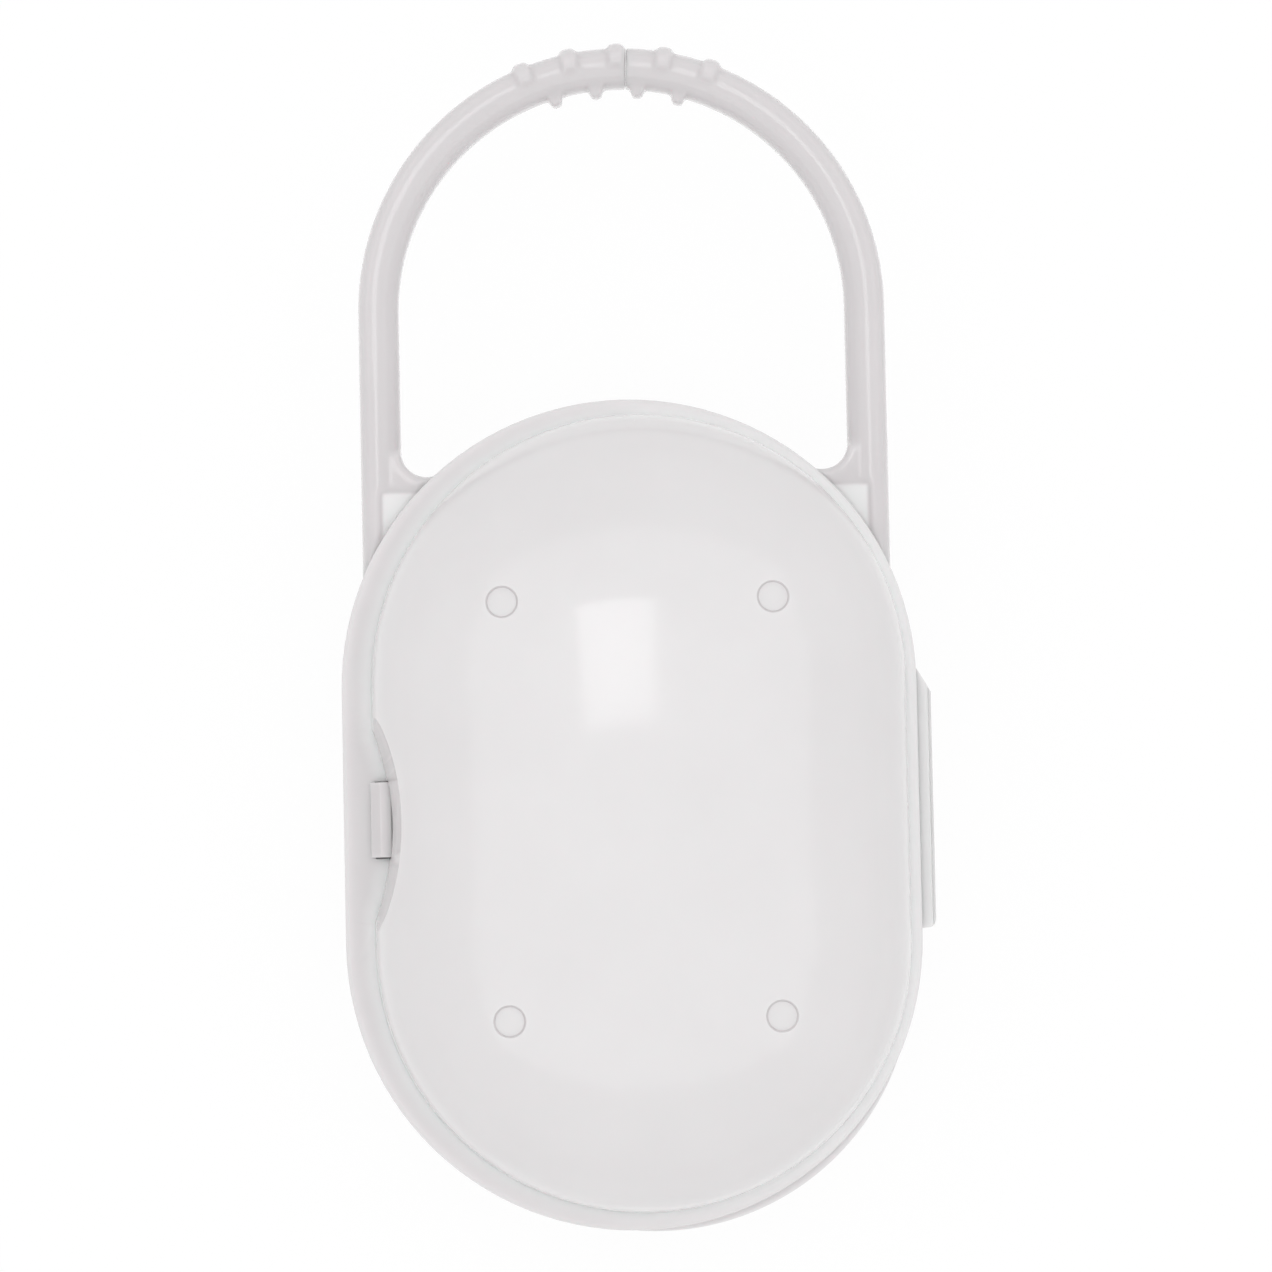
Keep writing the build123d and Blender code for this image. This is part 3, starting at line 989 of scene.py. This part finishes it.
def remap(tree, value, start=(0.0, 1.0), end=(0.0, 1.0), **settings):
    """Maps the range start to the range end, and holds its ends beyond it."""
    node = add_node(tree, "ShaderNodeMapRange", **settings)
    names = ("From Min", "From Max", "To Min", "To Max")
    for name, number in zip(names, (*start, *end)):
        node.inputs[name].default_value = number
    tree.links.new(value, node.inputs["Value"])
    return node.outputs["Result"]


def plastic(name, thin_and_lit, thick_and_shade, depth, roughness, gloss_at):
    """Milky polypropylene: mixed from a pale and a dense colour by a corner mark that carries both the
    plastic's thickness and painted light and shade, faintly clouded, with a fine moulded texture.

    depth is how far light goes below the surface, in millimetres. gloss_at is the value of that corner
    mark with no gloss on top and the one with full gloss.
    """
    material = bpy.data.materials.new(name)
    material.use_nodes = True
    tree = material.node_tree
    link = tree.links.new
    shader = tree.nodes["Principled BSDF"]
    shader.inputs["IOR"].default_value = 1.49
    shader.inputs["Subsurface Weight"].default_value = 1.0
    shader.inputs["Subsurface Radius"].default_value = (1.0, 0.92, 0.94)
    shader.inputs["Subsurface Scale"].default_value = depth * MM
    shader.inputs["Coat Roughness"].default_value = 0.07

    place = add_node(tree, "ShaderNodeTexCoord")
    thick_and_shade_mark = add_node(tree, "ShaderNodeAttribute", attribute_name="thick_and_shade").outputs["Fac"]
    body = add_node(tree, "ShaderNodeMix", data_type="RGBA")
    body.inputs[MIX_THIN_AND_LIT].default_value = (*thin_and_lit, 1)
    body.inputs[MIX_THICK_AND_SHADE].default_value = (*thick_and_shade, 1)
    link(thick_and_shade_mark, body.inputs[MIX_FACTOR])
    link(remap(tree, thick_and_shade_mark, gloss_at), shader.inputs["Coat Weight"])

    shade = remap(tree, noise(tree, place, 90.0, 3.0), end=(0.975, 1.025))
    clouded = add_node(tree, "ShaderNodeVectorMath", operation="SCALE")
    link(body.outputs[MIX_RESULT], clouded.inputs[0])
    link(shade, clouded.inputs["Scale"])
    link(clouded.outputs["Vector"], shader.inputs["Base Color"])

    polish = remap(tree, noise(tree, place, 260.0, 4.0), end=(roughness - 0.04, roughness + 0.04))
    link(polish, shader.inputs["Roughness"])

    bump = add_node(tree, "ShaderNodeBump")
    bump.inputs["Strength"].default_value = 0.12
    bump.inputs["Distance"].default_value = 0.00002
    link(noise(tree, place, 1800.0, 2.0), bump.inputs["Height"])
    link(bump.outputs["Normal"], shader.inputs["Normal"])
    return material


WALL_MARK_REACH = 0.03
FLAT_MARK_RISE = 0.05
UPPER_FADE = (0.1, 0.8)


def paint_cover_shade_and_light(material):
    """Paints shade on the scoop's wall, and paints light on the flange and the scoop's floor where they
    meet walls, against the shade in those creases.
    """
    tree = material.node_tree
    link = tree.links.new
    body = next(n for n in tree.nodes if n.type == "MIX")
    body.clamp_factor = False
    thick_and_shade_mark = body.inputs[MIX_FACTOR].links[0].from_socket
    place = add_node(tree, "ShaderNodeTexCoord")
    axes = add_node(tree, "ShaderNodeSeparateXYZ")
    link(place.outputs["Object"], axes.inputs[0])
    x, y, z = (axes.outputs[axis] for axis in "XYZ")

    def calc(operation, a, b=0):
        node = add_node(tree, "ShaderNodeMath", operation=operation)
        for socket, value in zip(node.inputs, (a, b)):
            if isinstance(value, (int, float)):
                socket.default_value = value
            else:
                link(value, socket)
        return node.outputs[0]

    def length(a, b):
        return calc("SQRT", calc("ADD", calc("MULTIPLY", a, a), calc("MULTIPLY", b, b)))

    def falling(value, start, end):
        ends = (start * MM, end * MM)
        return remap(tree, value, ends, (1.0, 0.0), interpolation_type="SMOOTHSTEP")

    rise = calc("SUBTRACT", z, cover_rim_top * MM)
    from_centre = length(
        calc("SUBTRACT", x, scoop_centre_x * MM),
        calc("SUBTRACT", y, scoop_centre_y * MM),
    )
    lean = calc("MULTIPLY", rise, scoop_slope)
    off_scoop = calc("SUBTRACT", calc("SUBTRACT", from_centre, scoop_radius * MM), lean)
    across = calc("SUBTRACT", x, dome_shift_x * MM)
    past = calc("MAXIMUM", calc("SUBTRACT", calc("ABSOLUTE", y), dome_half_straight * MM), 0)
    off_dome = calc("SUBTRACT", length(across, past), dome_radius * MM)

    # Painted shade on the scoop's wall, and painted light where the flange and the scoop's floor meet a
    # wall.
    near_wall = calc("LESS_THAN", calc("ABSOLUTE", off_scoop), WALL_MARK_REACH * MM)
    wall_shade = calc("MULTIPLY", near_wall, calc("GREATER_THAN", rise, FLAT_MARK_RISE * MM))
    clear = calc("MAXIMUM", off_dome, calc("MULTIPLY", off_scoop, -1))
    low_enough = falling(rise, FLAT_MARK_RISE, CREASE_RISE)
    crease = calc("MULTIPLY", falling(clear, 0.0, CREASE_REACH), low_enough)
    upper = falling(calc("MULTIPLY", rise, -1), *UPPER_FADE)
    pale = calc("MULTIPLY", calc("MULTIPLY", crease, upper), calc("SUBTRACT", 1, wall_shade))
    lifted = calc("ADD", thick_and_shade_mark, calc("MULTIPLY", wall_shade, 1 - SHELL_RIM_SHADE))
    paled = calc("SUBTRACT", lifted, calc("MULTIPLY", pale, SHELL_RIM_SHADE + CREASE_LIGHT))
    link(paled, body.inputs[MIX_FACTOR])


def dress(obj, material):
    obj.data.materials.clear()
    obj.data.materials.append(material)


# ------------------------------------------------------------------ stage, light and camera
FLOOR_HALF_SIDE = 2000
FLOOR_COLOUR = (0.88, 0.88, 0.88, 1)
FLOOR_WHITE = 1.02
FLOOR_WHITE_SHARE = 0.9
WORLD_STRENGTH = 0.79

# Name, place and aim in metres, width and length in metres, and power in watts.
LAMPS = (
    ("softbox", (0.0, 0.05, 1.35), (0, 0.02, 0.05), 1.6, 1.6, 4.0),
    ("window", (-0.0212, 0.128, 0.9585), (-0.0212, -0.8697, 0.8873), 0.0789, 0.859, 0.43),
)


def make_floor():
    """A pale floor that shows white to the camera, to gloss and through plastic, and keeps a shadow."""
    side = FLOOR_HALF_SIDE
    corners = [(-side, -side, 0), (side, -side, 0), (side, side, 0), (-side, side, 0)]
    floor = mesh_object("floor", corners, [(0, 1, 2, 3)])
    material = bpy.data.materials.new("floor_white")
    material.use_nodes = True
    tree = material.node_tree
    link = tree.links.new
    shader = tree.nodes["Principled BSDF"]
    shader.inputs["Base Color"].default_value = FLOOR_COLOUR
    shader.inputs["Roughness"].default_value = 0.9
    white = add_node(tree, "ShaderNodeEmission")
    white.inputs["Strength"].default_value = FLOOR_WHITE
    path = add_node(tree, "ShaderNodeLightPath")
    seen = path.outputs["Is Camera Ray"]
    for ray in ("Is Glossy Ray", "Is Transmission Ray"):
        either = add_node(tree, "ShaderNodeMath", operation="MAXIMUM")
        link(seen, either.inputs[0])
        link(path.outputs[ray], either.inputs[1])
        seen = either.outputs[0]
    share = add_node(tree, "ShaderNodeMath", operation="MULTIPLY")
    share.inputs[1].default_value = FLOOR_WHITE_SHARE
    link(seen, share.inputs[0])
    mix = add_node(tree, "ShaderNodeMixShader")
    link(share.outputs[0], mix.inputs[0])
    link(shader.outputs[0], mix.inputs[1])
    link(white.outputs[0], mix.inputs[2])
    link(mix.outputs[0], tree.nodes["Material Output"].inputs["Surface"])
    dress(floor, material)


def make_world():
    world = bpy.data.worlds.new("studio")
    bpy.context.scene.world = world
    world.use_nodes = True
    background = world.node_tree.nodes["Background"]
    background.inputs["Color"].default_value = (1, 1, 1, 1)
    background.inputs["Strength"].default_value = WORLD_STRENGTH


def make_lamp(name, place, aim, width, length, power):
    data = bpy.data.lights.new(name, "AREA")
    data.shape = "RECTANGLE"
    data.size = width
    data.size_y = length
    data.energy = power
    lamp = bpy.data.objects.new(name, data)
    bpy.context.scene.collection.objects.link(lamp)
    lamp.location = place
    lamp.rotation_euler = (Vector(aim) - Vector(place)).to_track_quat("-Z", "Y").to_euler()


# PIXEL_MM is the size of a photograph's pixel at the height of the cover's rim.
PIXEL_MM = 0.1217
FRAME_PIXELS = 1272
CAMERA_DISTANCE = 600.0
CAMERA_ROLL_DEG = 1.2
CAMERA_Y = -14.0
CENTRE_X = 0.97
CENTRE_Y = 21.5


def make_camera():
    """A camera over the body, tipped toward the loop to frame both."""
    data = bpy.data.cameras.new("camera")
    camera = bpy.data.objects.new("camera", data)
    bpy.context.scene.collection.objects.link(camera)
    roll = math.radians(CAMERA_ROLL_DEG)
    reach = (CENTRE_Y - CAMERA_Y) / math.cos(roll)
    data.sensor_width = 36.0
    data.lens = data.sensor_width * math.hypot(reach, CAMERA_DISTANCE) / (FRAME_PIXELS * PIXEL_MM)
    camera_x = CENTRE_X - reach * math.sin(roll)
    camera.location = (camera_x * MM, CAMERA_Y * MM, (cover_rim_top + CAMERA_DISTANCE) * MM)
    camera.rotation_euler = (math.atan2(reach, CAMERA_DISTANCE), 0, -roll)
    data.clip_start = 0.01
    data.clip_end = 100
    bpy.context.scene.camera = camera


# The pale and dense colours are mixed by the corner mark: the dense end is darker plastic and painted
# shade, the pale end thin plastic and, in creases and on the loop's webs, painted light.
PALE = (0.90, 0.885, 0.89)
DENSE_AND_SHADED = (0.70, 0.672, 0.68)
HINGE_PALE = (0.84, 0.82, 0.825)
# The loop's pale colour is painted light, for the thin webs in its roots.
HANDLE_WEB_LIGHT = (0.98, 0.965, 0.97)
HANDLE_DENSE = (0.71, 0.688, 0.696)
RACK_PALE = (0.82, 0.805, 0.81)
DOME_GLOSS = (SHELL_THIN + 0.07, SHELL_THIN)
HANDLE_GLOSS = (0.5, 1.0)
NO_GLOSS = (1.0, 2.0)

cover_plastic = plastic("cover_milky_plastic", PALE, DENSE_AND_SHADED, 1.6, 0.25, DOME_GLOSS)
paint_cover_shade_and_light(cover_plastic)
shell_plastic = plastic("shell_milky_plastic", PALE, DENSE_AND_SHADED, 1.6, 0.25, DOME_GLOSS)
latch_plastic = plastic("latch_milky_plastic", PALE, DENSE_AND_SHADED, 1.0, 0.25, DOME_GLOSS)
hinge_plastic = plastic("hinge_milky_plastic", HINGE_PALE, DENSE_AND_SHADED, 1.6, 0.25, DOME_GLOSS)
handle_plastic = plastic("handle_milky_plastic", HANDLE_WEB_LIGHT, HANDLE_DENSE, 2.0, 0.3, HANDLE_GLOSS)
rack_plastic = plastic("rack_milky_plastic", RACK_PALE, DENSE_AND_SHADED, 2.0, 0.45, NO_GLOSS)

cover = make_cover()
mark_thickness_and_shade(cover, cover_thickness_and_shade)
dress(cover, cover_plastic)
rear = make_rear()
mark_thickness_and_shade(rear, rear_thickness_and_shade)
dress(rear, shell_plastic)
dress(make_hinge(), hinge_plastic)
tongue = make_tongue()
mark_thickness_and_shade(tongue, tongue_shade_mark)
dress(tongue, latch_plastic)
dress(make_rack(), rack_plastic)
for loop_side, loop_word in ((-1, "left"), (1, "right")):
    half_loop = make_loop_half(loop_side, loop_word)
    mark_thickness_and_shade(half_loop, handle_thickness_and_light)
    dress(half_loop, handle_plastic)

make_floor()
make_world()
for lamp in LAMPS:
    make_lamp(*lamp)
make_camera()
bpy.context.scene.view_settings.view_transform = "Standard"
